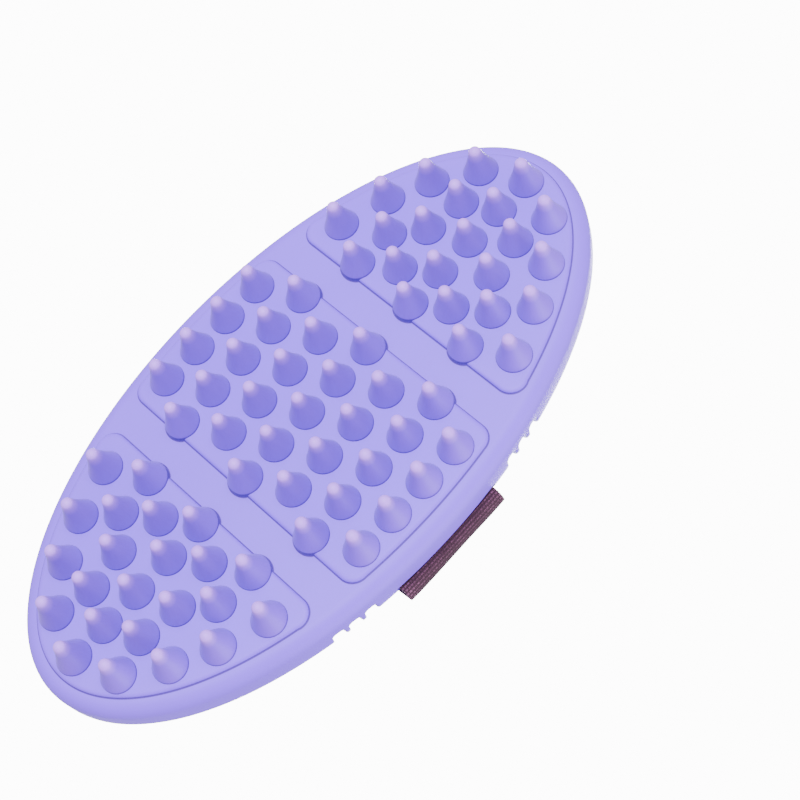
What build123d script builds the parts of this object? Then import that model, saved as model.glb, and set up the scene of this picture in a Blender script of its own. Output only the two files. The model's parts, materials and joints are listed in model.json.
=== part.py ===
"""Oval rubber curry brush with a hand strap, in millimetres.

The brush lies as it is used: cone tips down on z = 0, hand strap on top.
X runs along the oval, Y across it, and the origin is under the middle of the oval.
"""

import os
from math import atan2, cos, degrees, pi, sin, sqrt

from build123d import *

os.makedirs("parts", exist_ok=True)

# Rubber moulding
body_length = 165.2
body_width = 84.0
body_thickness = 13.0
face_edge_radius = 3.6
back_edge_radius = 5.8

# Raised pads and the cones on them
pad_height = 1.0
pad_margin = 4.0
pad_corner_radius = 3.8
centre_pad_half_length = 22.6
end_pad_start = 31.3
cone_height = 9.4
cone_pitch = 10.0
cone_row_pitch = 10.7
cone_gap = 1.6
cone_tip_radius = 1.5
centre_cone_rows = 7
centre_cones_in_long_row = 5

# Grooved flex zones between the centre section and the two end sections
flex_start = 21.2
groove_width = 3.1
groove_count = 3
ridge_width = 1.2
ridge_top_flat = 0.2
groove_floor_radius = 1.2
flex_web = 5.6

# Hard panels let into the back
panel_gap = 0.2
centre_panel_half_length = 19.6
centre_panel_side_margin = 6.3
centre_panel_thickness = 2.2
centre_panel_rise = 0.6
centre_panel_corner = 3.6
end_panel_start_margin = 2.0
end_panel_margin = 5.8
end_panel_thickness = 2.4
end_panel_corner = 4.0
panel_edge_radius = 0.2
stud_radius = 3.0
stud_length = 4.0
stud_clearance = 0.1
end_stud_x = 48.0
end_stud_y = 17.0

# Hand strap: coarse webbing on top, loop-faced webbing under it
strap_width = 30.0
webbing = 1.6
loop_webbing = 1.5
slot_clearance = 0.2
tunnel_roof_clearance = 0.1
tunnel_end_clearance = 0.6
tunnel_wall = 3.0
fold_radius = 1.9
fold_inset = 0.6
arch_height = 7.3
loop_end_y = 14.0
strap_end_y = 40.5
splice_half_length = 12.0
splice_ramp = 6.0
hook_patch_thickness = 1.0
hook_patch_length = 36.0
hook_patch_inset = 3.0
body_clearance = 0.3
layer_clearance = 0.15

# Stitching
thread = 0.45
stitch_length = 2.4
stitch_pitch = 3.0
stitch_inset = 2.2

# Heights of the levels that pieces share
pad_level = cone_height
face_level = pad_level + pad_height
back_level = face_level + body_thickness
web_level = face_level + flex_web
panel_floor = back_level + centre_panel_rise - centre_panel_thickness
strap_level = panel_floor - tunnel_roof_clearance - webbing - layer_clearance - loop_webbing / 2
slot_height = webbing + 2 * slot_clearance
slot_floor = strap_level - slot_height / 2

# Places along and across the oval
half_length = body_length / 2
half_width = body_width / 2
flex_length = groove_count * groove_width + (groove_count - 1) * ridge_width
flex_end = flex_start + flex_length
flex_axis_x = flex_start + flex_length / 2
cone_base_radius = (cone_pitch - cone_gap) / 2
centre_panel_half_width = half_width - centre_panel_side_margin
tunnel_half_length = strap_width / 2 + tunnel_end_clearance
tunnel_half_width = centre_panel_half_width - tunnel_wall
fold_y = half_width - fold_inset
crest_level = back_level + arch_height
ridge_lip = (ridge_width - ridge_top_flat) / 2
quarter = pi / 2

# Cones of one end pad, in pitches: distance from the middle of the oval, then from its long axis
end_cone_columns = {
    3.42: (0, 1.72),
    3.92: (0.82, 2.75),
    4.42: (0, 1.64),
    5.08: (1.00, 2.33),
    5.42: (0,),
    6.05: (0.85, 1.80),
    6.42: (0,),
    6.96: (1.07,),
    7.36: (0,),
}


def save(shape, name):
    """Writes one sub-part, or a group of like sub-parts, to its own file."""
    shape.label = name
    export_step(shape, f"parts/{name}.step")


def block(x, y, z):
    """A box between two values on each axis."""
    size = [b - a for a, b in (x, y, z)]
    middle = [(a + b) / 2 for a, b in (x, y, z)]
    return Pos(*middle) * Box(*size)


def half_width_at(x, margin):
    """Half the width, at x, of the oval drawn in by a margin."""
    share = x / (half_length - margin)
    return (half_width - margin) * sqrt(max(0.0, 1 - share * share))


def oval(margin=0.0):
    return Ellipse(half_length - margin, half_width - margin)


def beyond(x):
    """A sheet that covers everything past x."""
    return Pos(x + half_length, 0) * Rectangle(2 * half_length, 2 * body_width)


def rounded(sketch, radius):
    return fillet(sketch.vertices(), radius)


def end_outline(start, margin, corner):
    """The D shape left of the drawn-in oval past start, with rounded corners."""
    return rounded(oval(margin) & beyond(start), corner)


def mirrored(shape):
    """The same shape at the other end of the oval."""
    return mirror(shape, Plane.YZ)


# Rubber moulding


def moulding_blank():
    """The oval slab, rounded along its face edge and more along its back edge."""
    slab = extrude(Pos(0, 0, face_level) * oval(), body_thickness)
    edges = slab.edges().sort_by(Axis.Z)
    slab = fillet(edges[-1], back_edge_radius)
    edges = slab.edges().filter_by(GeomType.ELLIPSE).sort_by(Axis.Z)
    return fillet(edges[0], face_edge_radius)


def section(start, end):
    """A space over the whole thickness and width, between two places along the oval."""
    return block((start, end), (-body_width, body_width), (0, 2 * back_level))


def raised(outline):
    """A pad outline raised off the rubber face."""
    return extrude(Pos(0, 0, pad_level) * outline, pad_height)


def cone_feet(places):
    """Round feet that carry the cones standing at a pad's edge."""
    return [Pos(x, y) * Circle(cone_base_radius) for x, y in places]


def pad(outline, places):
    """A raised pad with the feet of its edge cones."""
    return raised(Sketch() + [outline] + cone_feet(places))


def end_section(blank):
    """The moulding's end section with its pad, and the recess and sockets for its panel."""
    body = blank & section(flex_end, half_length)
    outline = end_outline(end_pad_start, pad_margin, pad_corner_radius)
    body += pad(outline, end_cone_places())
    recess_outline = end_outline(
        flex_end + end_panel_start_margin - panel_gap, end_panel_margin - panel_gap, end_panel_corner
    )
    recess_floor = back_level - end_panel_thickness
    body -= extrude(Pos(0, 0, recess_floor) * recess_outline, body_thickness)
    for y in (-end_stud_y, end_stud_y):
        socket_depth = stud_length + stud_clearance
        socket = Cylinder(stud_radius + stud_clearance, socket_depth)
        body -= Pos(end_stud_x, y, recess_floor - socket_depth / 2) * socket
    return body


def centre_section(blank):
    """The moulding's centre section with its pad, panel recess, strap tunnel and side slots."""
    body = blank & section(-flex_start, flex_start)
    inside = Rectangle(2 * centre_pad_half_length, body_width)
    outline = rounded(oval(pad_margin) & inside, pad_corner_radius)
    body += pad(outline, centre_cone_places())
    recess_size = (2 * (centre_panel_half_length + panel_gap), 2 * (centre_panel_half_width + panel_gap))
    recess = RectangleRounded(*recess_size, centre_panel_corner + panel_gap)
    body -= extrude(Pos(0, 0, panel_floor) * recess, body_thickness)
    reach = (-tunnel_half_length, tunnel_half_length)
    body -= block(reach, (-tunnel_half_width, tunnel_half_width), (slot_floor, back_level))
    body -= block(reach, (-body_width, body_width), (slot_floor, slot_floor + slot_height))
    return body


def groove(start):
    """The space of one groove, with a rounded floor and with lips that round the ridges beside it."""
    end = start + groove_width
    lip_level = back_level - ridge_lip
    with BuildSketch(Plane.XZ) as profile:
        with BuildLine():
            left = JernArc((start, lip_level), (0, 1), ridge_lip, 90)
            right = JernArc((end, lip_level), (0, 1), ridge_lip, -90)
            Polyline(left @ 0, (start, web_level), (end, web_level), right @ 0)
            Polyline(left @ 1, (start - ridge_lip, 2 * back_level), (end + ridge_lip, 2 * back_level), right @ 1)
        make_face()
    outline = fillet(profile.sketch.vertices().group_by(Axis.Z)[0], groove_floor_radius)
    return extrude(outline, body_width, both=True)


def bellows(blank):
    """One flex zone: the thin web and the ridges left between its grooves."""
    body = blank & section(flex_start, flex_end)
    for number in range(groove_count):
        body -= groove(flex_start + number * (groove_width + ridge_width))
    return body


# Cones


def centre_cone_places():
    """Rows across the centre pad, each of them half a pitch off its neighbours."""
    places = []
    for row in range(centre_cone_rows):
        count = centre_cones_in_long_row - (row + 1) % 2
        y = (row - (centre_cone_rows - 1) / 2) * cone_row_pitch
        places += [((number - (count - 1) / 2) * cone_pitch, y) for number in range(count)]
    return [place for place in places if cone_fits(*place)]


def end_cone_places():
    """Cones of the pad at the +X end, on both sides of the long axis."""
    places = []
    for along, columns in end_cone_columns.items():
        for across in columns:
            sides = (-1, 1) if across else (1,)
            places += [(along * cone_pitch, side * across * cone_pitch) for side in sides]
    return [place for place in places if cone_fits(*place)]


def cone_fits(x, y):
    """True if the cone's foot lies inside the pads' oval margin."""
    reach = cone_base_radius
    tip = half_length - pad_margin
    if abs(x) + reach > tip:
        return False
    return abs(y) + reach <= half_width_at(abs(x), pad_margin)


def cone():
    """A straight-sided cone with a ball tip, standing point down from the pad level."""
    lean = atan2(cone_base_radius - cone_tip_radius, pad_level - cone_tip_radius)
    with BuildSketch(Plane.XZ) as half:
        with BuildLine():
            ball = JernArc((0, 0), (1, 0), cone_tip_radius, 90 - degrees(lean))
            Polyline(ball @ 1, (cone_base_radius, pad_level), (0, pad_level), (0, 0))
        make_face()
    return revolve(half.sketch, Axis.Z)


def cones(places):
    one = cone()
    return Compound(children=[Pos(x, y) * one for x, y in places])


# Hard panels


def end_panel():
    """The D-shaped panel let flush into an end section, with its two moulded studs."""
    start = flex_end + end_panel_start_margin
    outline = end_outline(start, end_panel_margin, end_panel_corner - panel_gap)
    floor = back_level - end_panel_thickness
    plate = extrude(Pos(0, 0, floor) * outline, end_panel_thickness)
    top = plate.faces().sort_by(Axis.Z)[-1]
    plate = fillet(top.edges(), panel_edge_radius)
    for y in (-end_stud_y, end_stud_y):
        plate += Pos(end_stud_x, y, floor - stud_length / 2) * Cylinder(stud_radius, stud_length)
    return plate


def centre_panel():
    """The panel that closes the strap tunnel, standing a little proud of the back."""
    outline = RectangleRounded(2 * centre_panel_half_length, 2 * centre_panel_half_width, centre_panel_corner)
    plate = extrude(Pos(0, 0, panel_floor) * outline, centre_panel_thickness)
    top = plate.faces().sort_by(Axis.Z)[-1]
    return fillet(top.edges(), panel_edge_radius)


# Hand strap, drawn as a centre line in the YZ plane and given its width along X


def arch_radius():
    """Radius of the arch that starts tangent to the fold and crests over the middle."""
    crest = crest_level - strap_level
    across = fold_y**2 + (crest - fold_radius) ** 2 - fold_radius**2
    return across / (2 * (crest - 2 * fold_radius))


def arch_centre():
    return Vector(0, crest_level - arch_radius())


def fold_centre(side):
    """Centre of the fold at one side, which is also the strap's hinge axis."""
    return Vector(side * fold_y, strap_level + fold_radius)


def on_arch(y, radius):
    """The point of a circle round the arch's centre that stands at y."""
    return Vector(y, arch_centre().Y + sqrt(radius**2 - y**2))


def descent():
    """Centre and radius of the arc that brings the top webbing down to its own fold."""
    start = on_arch(loop_end_y, top_radius())
    outward = (start - arch_centre()).normalized()
    reach = start - fold_centre(1)
    radius = (reach.dot(reach) - fold_radius**2) / (2 * (reach.dot(outward) - fold_radius))
    return start - outward * radius, radius


def top_radius():
    """Radius of the top webbing's centre line where it lies over the loop webbing."""
    return arch_radius() + loop_webbing / 2 + body_clearance + hook_patch_thickness + webbing / 2


def tangent_point(centre, radius, side):
    """Where an arc of the strap meets the fold."""
    direction = (fold_centre(side) - centre).normalized()
    return centre + direction * radius


def arc(centre, radius, start, end):
    """The part of a circle between two points, by its upper or outer side."""
    first = atan2(start.Y - centre.Y, start.X - centre.X)
    last = atan2(end.Y - centre.Y, end.X - centre.X)
    middle = (first + last) / 2
    return ThreePointArc(start, centre + Vector(cos(middle), sin(middle)) * radius, end)


def turned_back(centre, start, distance, radius):
    """The point of a circle a short distance past start, away from the fold."""
    step = distance / radius
    angle = atan2(start.Y - centre.Y, start.X - centre.X)
    angle += step if start.X > 0 else -step
    return centre + Vector(cos(angle), sin(angle)) * radius


def ribbon(edges, thickness, width=strap_width):
    """Webbing of one thickness along a centre line, as wide along X as stated."""
    path = Wire(edges)
    start = path @ 0
    tangent = path % 0
    normal_plane = Plane(origin=start, x_dir=(0, 0, 1), z_dir=tangent)
    flat = sweep(normal_plane * Rectangle(width, thickness), path=path)
    return Plane.YZ * flat


def fold_edges(side, end):
    """The slot exit and the fold, from the side slot round to the point where the strap turns up."""
    centre = fold_centre(side)
    bottom = centre - Vector(0, fold_radius)
    angle = atan2(end.Y - centre.Y, side * (end.X - centre.X))
    middle = (angle - quarter) / 2
    mid_point = centre + Vector(side * cos(middle), sin(middle)) * fold_radius
    return bottom, ThreePointArc(bottom, mid_point, end)


def loop_strap():
    """The swinging part of the loop-faced webbing, over the back of the hand gap."""
    radius = arch_radius()
    root = turned_back(arch_centre(), tangent_point(arch_centre(), radius, -1), body_clearance, radius)
    return ribbon([arc(arch_centre(), radius, root, on_arch(loop_end_y, radius))], loop_webbing)


def loop_strap_tail():
    """The loop-faced webbing's fold, its way in through the slot and its end in the tunnel."""
    end = tangent_point(arch_centre(), arch_radius(), -1)
    bottom, fold = fold_edges(-1, end)
    inner = Vector(splice_half_length, strap_level)
    return ribbon([Line(inner, bottom), fold], loop_webbing)


def top_strap():
    """The swinging part of the coarse webbing, down to its heat-cut end."""
    radius = top_radius()
    descent_centre, descent_radius = descent()
    root = tangent_point(descent_centre, descent_radius, 1)
    root = turned_back(descent_centre, root, body_clearance, descent_radius)
    joint = on_arch(loop_end_y, radius)
    lower = arc(descent_centre, descent_radius, root, joint)
    upper = arc(arch_centre(), radius, joint, on_arch(-strap_end_y, radius))
    return ribbon([lower, upper], webbing)


def top_strap_tail():
    """The coarse webbing's fold, its slot and its end, lying on the loop webbing in the tunnel."""
    descent_centre, descent_radius = descent()
    end = tangent_point(descent_centre, descent_radius, 1)
    bottom, fold = fold_edges(1, end)
    lift = (webbing + loop_webbing) / 2 + layer_clearance
    inner = Vector(-splice_half_length, strap_level + lift)
    ramp_top = Vector(splice_half_length + layer_clearance, strap_level + lift)
    ramp_foot = Vector(ramp_top.X + splice_ramp, strap_level)
    tail = FilletPolyline(inner, ramp_top, ramp_foot, bottom, radius=splice_ramp)
    return ribbon([*tail.edges(), fold], webbing)


def hook_patch():
    """The hook tape sewn under the end of the coarse webbing."""
    radius = top_radius() - (webbing + hook_patch_thickness) / 2
    far = on_arch(-strap_end_y + hook_patch_inset, radius)
    near = on_arch(-strap_end_y + hook_patch_inset + hook_patch_length, radius)
    width = strap_width - 2 * hook_patch_inset
    return ribbon([arc(arch_centre(), radius, near, far)], hook_patch_thickness, width)


# Stitching


def stitch(at, along_strap):
    """One thread stitch lying on the coarse webbing at a place in the XY plane."""
    x, y = at
    on_top = on_arch(y, top_radius() + (webbing + thread) / 2)
    tilt = degrees(atan2(y, on_top.Y - arch_centre().Y))
    size = (thread, stitch_length) if along_strap else (stitch_length, thread)
    return Pos(x, y, on_top.Y) * Rot(-tilt, 0, 0) * Box(*size, thread)


def evenly(start, end):
    """Stitch places from start to end, an equal step apart near the stitch pitch."""
    steps = max(1, round((end - start) / stitch_pitch))
    return [start + (end - start) * number / steps for number in range(steps + 1)]


def end_stitching():
    """The seam that closes the coarse webbing's end over the hook tape."""
    y = -strap_end_y + hook_patch_inset + stitch_inset
    reach = strap_width / 2 - hook_patch_inset - stitch_length / 2
    return Compound(children=[stitch((x, y), False) for x in evenly(-reach, reach)])


def patch_stitching():
    """The other three sides of the hook tape's seam."""
    near = -strap_end_y + hook_patch_inset + hook_patch_length - stitch_inset
    far = -strap_end_y + hook_patch_inset + stitch_inset + stitch_pitch
    side = strap_width / 2 - hook_patch_inset - thread
    reach = side - stitch_length / 2 - thread
    stitches = [stitch((x, near), False) for x in evenly(-reach, reach)]
    for x in (-side, side):
        stitches += [stitch((x, y), True) for y in evenly(far, near)]
    return Compound(children=stitches)


def main():
    blank = moulding_blank()
    save(centre_section(blank), "centre_rubber_body")
    end = end_section(blank)
    save(end, "front_rubber_body")
    save(mirrored(end), "rear_rubber_body")
    zone = bellows(blank)
    save(zone, "front_flex_bellows")
    save(mirrored(zone), "rear_flex_bellows")
    save(cones(centre_cone_places()), "centre_cones")
    end_cones = cones(end_cone_places())
    save(end_cones, "front_cones")
    save(cones([(-x, y) for x, y in end_cone_places()]), "rear_cones")
    save(centre_panel(), "centre_back_panel")
    panel = end_panel()
    save(panel, "front_back_panel")
    save(mirrored(panel), "rear_back_panel")
    save(loop_strap_tail(), "loop_strap_tail")
    save(loop_strap(), "loop_strap")
    save(top_strap_tail(), "top_strap_tail")
    save(top_strap(), "top_strap")
    save(hook_patch(), "hook_patch")
    save(end_stitching(), "end_stitching")
    save(patch_stitching(), "patch_stitching")


main()
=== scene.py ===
"""The shown model of an oval rubber curry brush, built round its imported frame."""

import json
import math

import bmesh
import bpy
from mathutils import Matrix, Vector, noise


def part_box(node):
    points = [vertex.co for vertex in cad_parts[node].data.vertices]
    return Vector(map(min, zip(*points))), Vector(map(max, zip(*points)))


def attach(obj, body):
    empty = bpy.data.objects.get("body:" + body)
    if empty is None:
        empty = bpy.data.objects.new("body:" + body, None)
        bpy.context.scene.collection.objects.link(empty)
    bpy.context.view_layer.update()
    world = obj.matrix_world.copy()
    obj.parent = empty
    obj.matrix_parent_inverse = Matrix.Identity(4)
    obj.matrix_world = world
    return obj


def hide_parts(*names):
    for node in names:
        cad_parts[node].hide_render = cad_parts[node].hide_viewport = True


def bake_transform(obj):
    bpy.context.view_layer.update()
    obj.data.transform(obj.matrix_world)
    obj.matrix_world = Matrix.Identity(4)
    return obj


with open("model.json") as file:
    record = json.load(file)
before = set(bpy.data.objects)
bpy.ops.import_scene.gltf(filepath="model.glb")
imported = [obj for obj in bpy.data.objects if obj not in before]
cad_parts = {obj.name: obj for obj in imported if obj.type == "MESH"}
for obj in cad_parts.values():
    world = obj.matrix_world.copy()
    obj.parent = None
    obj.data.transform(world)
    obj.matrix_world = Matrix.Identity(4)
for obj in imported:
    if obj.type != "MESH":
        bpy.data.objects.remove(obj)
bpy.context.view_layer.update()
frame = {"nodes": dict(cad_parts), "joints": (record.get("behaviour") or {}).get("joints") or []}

bl_info = {
    "name": "Curry Brush",
    "version": (1, 0, 0),
    "blender": (4, 5, 0),
    "location": "View3D > Sidebar > Curry Brush",
    "description": "Models a rubber curry brush with cones, flex grooves and a hand strap",
    "category": "Object",
}

MM = 0.001
QUARTER = math.pi / 2

# Length of webbing that one unit of its UV map stands for
UV_SPAN = 0.2

# Merging distance, and how closely two levels or places have to agree to count as one
MERGE = 0.004 * MM
LEVEL = 1e-6

# How far a cutter reaches past the width and over the back
PAST_SIDE = 1.2
PAST_BACK = 1.3

# Angle over which a band's edges stay sharp, and how far its ribs bulge at the selvedge
BAND_SHARP = math.radians(80)
SELVEDGE = 0.12 * MM

# How far worn webbing strays from its line
WAVINESS = 0.12 * MM


# Places read from the frame


def joint(name):
    return next(entry for entry in frame["joints"] if entry["name"] == name)


def hinge(name):
    """A hinge's place in the YZ plane."""
    place = joint(name)["pos_m"]
    return Vector((place[1], place[2]))


def low(node):
    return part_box(node)[0]


def high(node):
    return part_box(node)[1]


HALF_LENGTH = high("front_rubber_body").x
HALF_WIDTH = high("centre_rubber_body").y
PAD_LEVEL = low("centre_rubber_body").z
BACK_LEVEL = high("front_back_panel").z
FLEX_START = low("front_flex_bellows").x
FLEX_END = high("front_flex_bellows").x
FACE_LEVEL = low("front_flex_bellows").z
CENTRE = Vector((0, 0, (FACE_LEVEL + BACK_LEVEL) / 2))


# Settings that a user would change


def millimetres(name, description, value):
    return bpy.props.FloatProperty(name=name, description=description, default=value * MM, unit="LENGTH")


def count(name, description, value):
    return bpy.props.IntProperty(name=name, description=description, default=value)


def plain(name, description, value):
    return bpy.props.FloatProperty(name=name, description=description, default=value)


def paint(name, description, colour):
    return bpy.props.FloatVectorProperty(
        name=name, description=description, default=(*colour, 1), subtype="COLOR", size=4
    )


def watts(name, description, value):
    return bpy.props.FloatProperty(name=name, description=description, default=value, unit="POWER")


class RubberSettings(bpy.types.PropertyGroup):
    """Sizes of the rubber moulding that the frame doesn't give."""

    face_edge: millimetres("Face Edge", "Rounding of the edge on the cone side", 3.6)
    back_edge: millimetres("Back Edge", "Rounding of the edge on the strap side", 5.8)
    outline_points: count("Outline Points", "Points round the oval", 360)
    edge_steps: count("Edge Steps", "Steps round each long edge", 9)
    groove_width: millimetres("Groove Width", "Width of each flex groove", 3.1)
    grooves: count("Grooves", "Grooves in one flex zone", 3)
    groove_floor: millimetres("Groove Floor", "Rounding at the bottom of a groove", 1.2)
    flex_web: millimetres("Flex Web", "Rubber left under the grooves", 5.6)
    bend_lines: count("Bend Lines", "Steps in which a flex zone bends", 12)
    slot: millimetres("Slot", "Height of the side slots", 2.0)
    slot_play: millimetres("Slot Play", "Room beside the strap in its slots", 0.6)
    lip: millimetres("Lip", "Rounding of the groove and slot lips", 0.45)
    panel_gap: millimetres("Panel Gap", "Gap round each back panel", 0.32)
    panel_lip: millimetres("Panel Lip", "Rounding of the recess lips round the panels", 0.12)
    centre_panel_corner: millimetres("Centre Panel Corner", "Corner radius of the centre panel", 3.6)
    end_panel_corner: millimetres("End Panel Corner", "Corner radius of the end recesses", 4.0)
    pad_edge: millimetres("Pad Edge", "How far a pad's rounded edge falls", 0.6)
    pad_shoulder: millimetres("Pad Shoulder", "How far a pad's rounded edge reaches in", 1.1)
    pad_foot: millimetres("Pad Foot", "Fillet where a pad meets the slab", 0.3)
    pad_corner: millimetres("Pad Corner", "Corner radius of the pads", 3.8)
    pad_margin: millimetres("Pad Margin", "Rim left round the pads", 4.0)
    centre_pad_reach: millimetres("Centre Pad Reach", "Half the centre pad's length", 22.6)
    end_pad_start: millimetres("End Pad Start", "Where an end pad starts", 31.3)


class ConeSettings(bpy.types.PropertyGroup):
    """Shape of one cone."""

    foot: millimetres("Foot Radius", "Radius of a cone at the pad", 4.2)
    tip: millimetres("Tip Radius", "Radius of the ball tip", 1.5)
    hollow: millimetres("Hollow", "How far a cone's flank is drawn in halfway up", 0.2)
    steps: count("Steps", "Steps round a cone", 48)


class WebbingSettings(bpy.types.PropertyGroup):
    """Sizes of the hand strap's two bands."""

    thickness: millimetres("Webbing", "Thickness of the coarse webbing", 1.6)
    loop_thickness: millimetres("Loop Webbing", "Thickness of the loop-faced webbing", 1.5)
    rib: millimetres("Rib Pitch", "Pitch of the coarse webbing's ribs", 0.6)
    rib_height: millimetres("Rib Height", "Height of the coarse ribs", 0.26)
    loop_rib: millimetres("Loop Rib Pitch", "Pitch of the loop webbing's ribs", 0.5)
    loop_rib_height: millimetres("Loop Rib Height", "Height of the fine ribs", 0.12)
    splice: millimetres("Splice", "Half the overlap of the two bands in the tunnel", 12)
    ramp: millimetres("Ramp", "Length over which the coarse band climbs in the tunnel", 6)
    hook_base: millimetres("Hook Base", "Thickness of the tape that carries the hooks", 0.35)
    hook_pitch: millimetres("Hook Pitch", "Distance between the hook tape's hooks", 1.5)
    thread: millimetres("Thread", "Thickness of the sewing thread", 0.42)


class FinishSettings(bpy.types.PropertyGroup):
    """Colours of the brush."""

    rubber: paint("Rubber", "Lavender rubber", (0.135, 0.046, 0.62))
    # Painted shade: the cones' sides are a little deeper than the rubber, for the shade on their flanks.
    cone: paint("Cone", "Rubber of the cones' sides", (0.135, 0.044, 0.55))
    # Painted light: the tips' paler colour stands for the light that passes through them.
    tip: paint("Cone Tip", "Paler rubber of the tips", (0.30, 0.12, 0.66))
    panel: paint("Panel", "Back panels", (0.118, 0.058, 0.58))
    webbing: paint("Webbing", "Plum yarn", (0.085, 0.030, 0.066))
    loop: paint("Loop Webbing", "Loop-faced yarn", (0.070, 0.027, 0.056))
    thread: paint("Thread", "Sewing thread", (0.012, 0.008, 0.012))


class StageSettings(bpy.types.PropertyGroup):
    """Camera, floor and light."""

    azimuth: bpy.props.FloatProperty(
        name="Azimuth", description="Camera's bearing", default=math.radians(200.68), subtype="ANGLE"
    )
    elevation: bpy.props.FloatProperty(
        name="Elevation", description="Camera's height angle", default=math.radians(-62.94), subtype="ANGLE"
    )
    roll: bpy.props.FloatProperty(
        name="Roll", description="Camera's turn about its view", default=math.radians(151.83), subtype="ANGLE"
    )
    distance: millimetres("Distance", "From the camera to its aim", 381)
    aim: bpy.props.FloatVectorProperty(
        name="Aim",
        description="Point the camera looks at",
        default=(15.38 * MM, 14.81 * MM, 8.97 * MM),
        subtype="XYZ",
    )
    lens: plain("Lens", "Focal length in millimetres", 77.64)
    floor_size: millimetres("Floor Size", "Side of the floor", 6000.0)
    key: watts("Key", "Power of the key light", 23.5)
    fill: watts("Fill", "Power of the fill light", 13.0)
    top: watts("Top", "Power of the light overhead", 34.0)
    world: plain("World", "Strength of the surrounding light", 1.35)
    backdrop: plain("Backdrop", "Strength of the seen backdrop", 16.0)


# Mesh helpers


def shade(mesh, sharp_angle):
    """Smooth shading, but for edges that turn more than an angle."""
    mesh.shade_smooth()
    mesh.set_sharp_from_angle(angle=sharp_angle)


def finish_piece(name, work, material=None, sharp_angle=math.radians(35)):
    """Makes an object of a bmesh, smooth-shaded but for its sharp edges."""
    mesh = bpy.data.meshes.new(name)
    work.to_mesh(mesh)
    work.free()
    shade(mesh, sharp_angle)
    piece = bpy.data.objects.new(name, mesh)
    bpy.context.scene.collection.objects.link(piece)
    if material:
        mesh.materials.append(material)
    return piece


def as_work(piece):
    work = bmesh.new()
    work.from_mesh(piece.data)
    return work


def discard(piece):
    mesh = piece.data
    bpy.data.objects.remove(piece)
    bpy.data.meshes.remove(mesh)


def apply_modifiers(piece):
    """Replaces a piece's mesh with what its modifiers make of it."""
    shaped = piece.evaluated_get(bpy.context.evaluated_depsgraph_get())
    mesh = bpy.data.meshes.new_from_object(shaped)
    piece.modifiers.clear()
    piece.data = mesh


def cut(piece, tool):
    """Cuts one closed piece with another, and discards the cutter."""
    step = piece.modifiers.new("cut", "BOOLEAN")
    step.operation = "DIFFERENCE"
    step.solver = "EXACT"
    step.object = tool
    apply_modifiers(piece)
    discard(tool)


def clean(work):
    """Merges doubled points and takes out edges without a length."""
    bmesh.ops.remove_doubles(work, verts=work.verts, dist=MERGE)
    bmesh.ops.dissolve_degenerate(work, dist=MERGE, edges=work.edges)


def strew(work, single, placings):
    """Adds a copy of one small bmesh at each placing, and discards it."""
    mesh = bpy.data.meshes.new("single")
    single.to_mesh(mesh)
    single.free()
    for placing in placings:
        before = len(work.verts)
        work.from_mesh(mesh)
        work.verts.ensure_lookup_table()
        bmesh.ops.transform(work, matrix=placing, verts=work.verts[before:])
    bpy.data.meshes.remove(mesh)


def ring(work, places):
    """A closed ring of edges through some places."""
    verts = [work.verts.new(place) for place in places]
    return [work.edges.new(pair) for pair in zip(verts, verts[1:] + verts[:1])]


def skin_over(work, rings):
    """Faces from each ring to the next, and a cap on the first and the last."""
    for first, second in zip(rings, rings[1:]):
        bmesh.ops.bridge_loops(work, edges=first + second)
    bmesh.ops.holes_fill(work, edges=rings[0] + rings[-1], sides=0)
    bmesh.ops.recalc_face_normals(work, faces=work.faces)


def raise_prism(points, bottom, top):
    """A closed prism from an outline and two heights."""
    work = bmesh.new()
    face = work.faces.new([work.verts.new((x, y, bottom)) for x, y in points])
    raised = bmesh.ops.extrude_face_region(work, geom=[face])
    moved = [item for item in raised["geom"] if isinstance(item, bmesh.types.BMVert)]
    bmesh.ops.translate(work, verts=moved, vec=(0, 0, top - bottom))
    bmesh.ops.recalc_face_normals(work, faces=work.faces)
    return work


def box_work(lowest, highest):
    """A box between two corners."""
    work = bmesh.new()
    bmesh.ops.create_cube(work, size=1)
    size = Vector(highest) - Vector(lowest)
    bmesh.ops.scale(work, vec=size, verts=work.verts)
    bmesh.ops.translate(work, vec=(Vector(lowest) + Vector(highest)) / 2, verts=work.verts)
    return work


def round_edges(work, edges, radius, steps):
    """Rounds edges of a piece without holding the rounding back at its neighbours."""
    bmesh.ops.bevel(
        work,
        geom=edges,
        offset=radius,
        offset_type="OFFSET",
        segments=steps,
        profile=0.5,
        affect="EDGES",
        clamp_overlap=False,
        material=-1,
    )


def level_edges(work, height):
    """Edges that lie at one height."""
    return [edge for edge in work.edges if all(abs(v.co.z - height) < LEVEL for v in edge.verts)]


def sharp_edges(work, lowest, nearest=-HALF_LENGTH):
    """Edges that turn more than 50 degrees, over a height and past a place along the brush."""
    found = []
    for edge in work.edges:
        middle = (edge.verts[0].co + edge.verts[1].co) / 2
        if middle.z > lowest and middle.x > nearest and edge.calc_face_angle(0) > math.radians(50):
            found.append(edge)
    return found


def whole(work):
    """All of a bmesh's parts, as the bisecting operator wants them."""
    return work.verts[:] + work.edges[:] + work.faces[:]


# Outlines


def arc_points(centre, radius, start, end, steps):
    angles = [start + (end - start) * step / steps for step in range(steps + 1)]
    return [Vector((centre.x + radius * math.cos(a), centre.y + radius * math.sin(a))) for a in angles]


def corner(line, side, margin, radius):
    """Centre of the rounding where a line crosses the oval's edge, and the angle where it meets that edge."""
    a, b = HALF_LENGTH - margin - radius, HALF_WIDTH - margin - radius
    x = line + side * radius
    y = b * math.sqrt(1 - (x / a) ** 2)
    return Vector((x, y)), math.atan2(y / b**2, x / a**2)


def oval_angle(point, margin):
    return math.atan2(point.y / (HALF_WIDTH - margin), point.x / (HALF_LENGTH - margin))


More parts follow.
